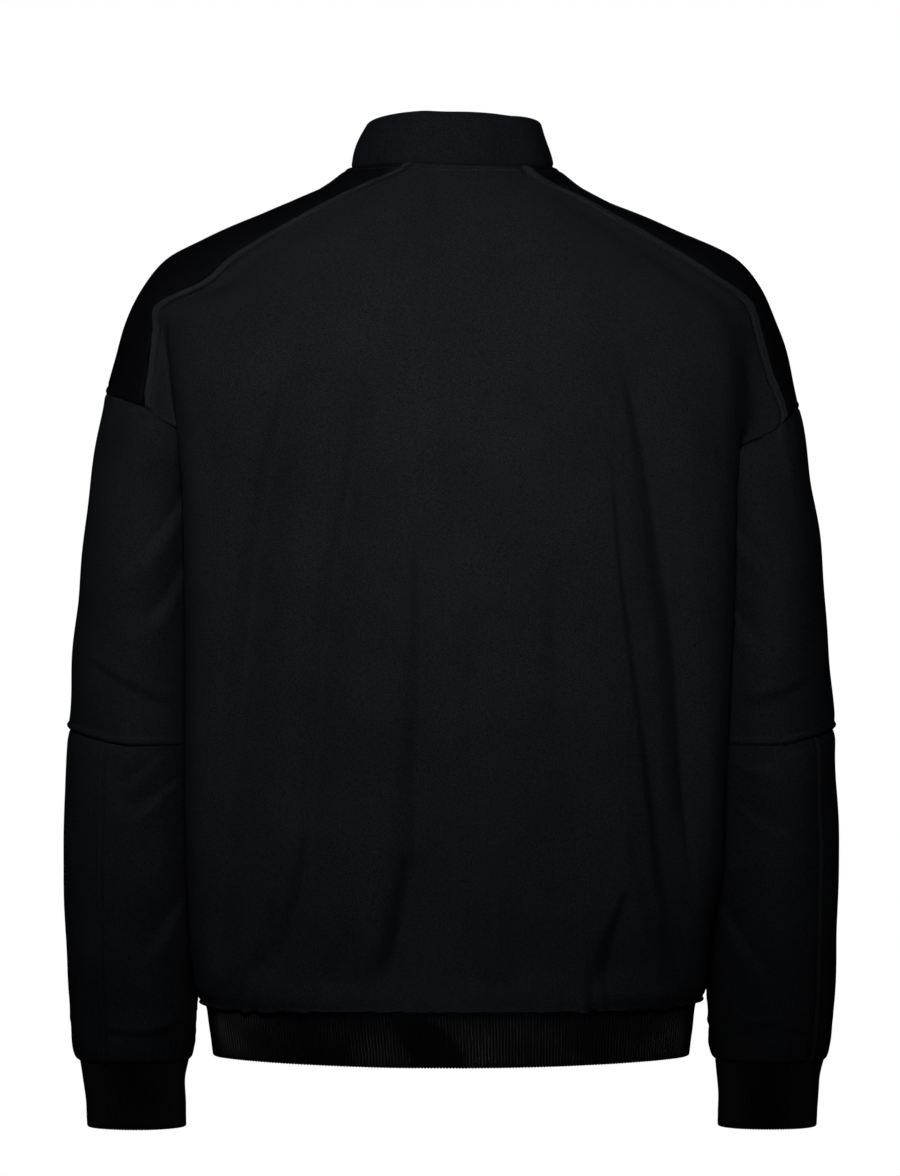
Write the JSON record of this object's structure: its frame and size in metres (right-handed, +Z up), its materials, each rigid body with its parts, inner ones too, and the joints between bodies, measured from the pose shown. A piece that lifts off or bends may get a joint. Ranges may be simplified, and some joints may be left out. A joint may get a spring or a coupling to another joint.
{
  "type": "track jacket",
  "caption": "Black track jacket, empty and filled out as worn: dropped shoulder panels with raised seams, two-panel lower sleeves, ribbed cuffs and hem, stand-up collar, closed front zip.",
  "frame": {"origin": "middle of the neck opening, level with the top of the shoulders, where the wearer holds the jacket up", "axes": "+Z up, -Y towards the front with the zip, +Y towards the back, +X towards the wearer's left sleeve"},
  "size_m": [0.6078, 0.2542, 0.7906],
  "materials": {
    "body_fabric": "smooth black double-knit, dull with a faint sheen",
    "shoulder_fabric": "smooth black double-knit with a slightly stronger sheen",
    "rib_knit": "fine black rib knit, dull",
    "zip_tape": "woven black tape, dull",
    "zip_metal": "black satin metal"
  },
  "bodies": {
    "jacket": {"back": "body_fabric", "front_left": "body_fabric", "front_right": "body_fabric", "shoulder_left": "shoulder_fabric", "shoulder_right": "shoulder_fabric", "upper_sleeve_left": "body_fabric", "upper_sleeve_right": "body_fabric", "lower_sleeve_inner_left": "body_fabric", "lower_sleeve_inner_right": "body_fabric", "lower_sleeve_outer_left": "body_fabric", "lower_sleeve_outer_right": "body_fabric", "collar": "body_fabric", "cuff_left": "rib_knit", "cuff_right": "rib_knit", "hem_rib": "rib_knit", "zip_tape": "zip_tape", "zip_chain": "zip_metal", "zip_slider": "zip_metal"},
    "pull_tab": {"zip_pull": "zip_metal"}
  },
  "joints": [
    {"name": "pull_tab_hinge", "type": "hinge", "parent": "jacket", "child": "pull_tab", "pos_m": [0, -0.07531, -0.03594], "axis": [-1, 0, 0], "range_deg": [0, 165]}
  ]
}
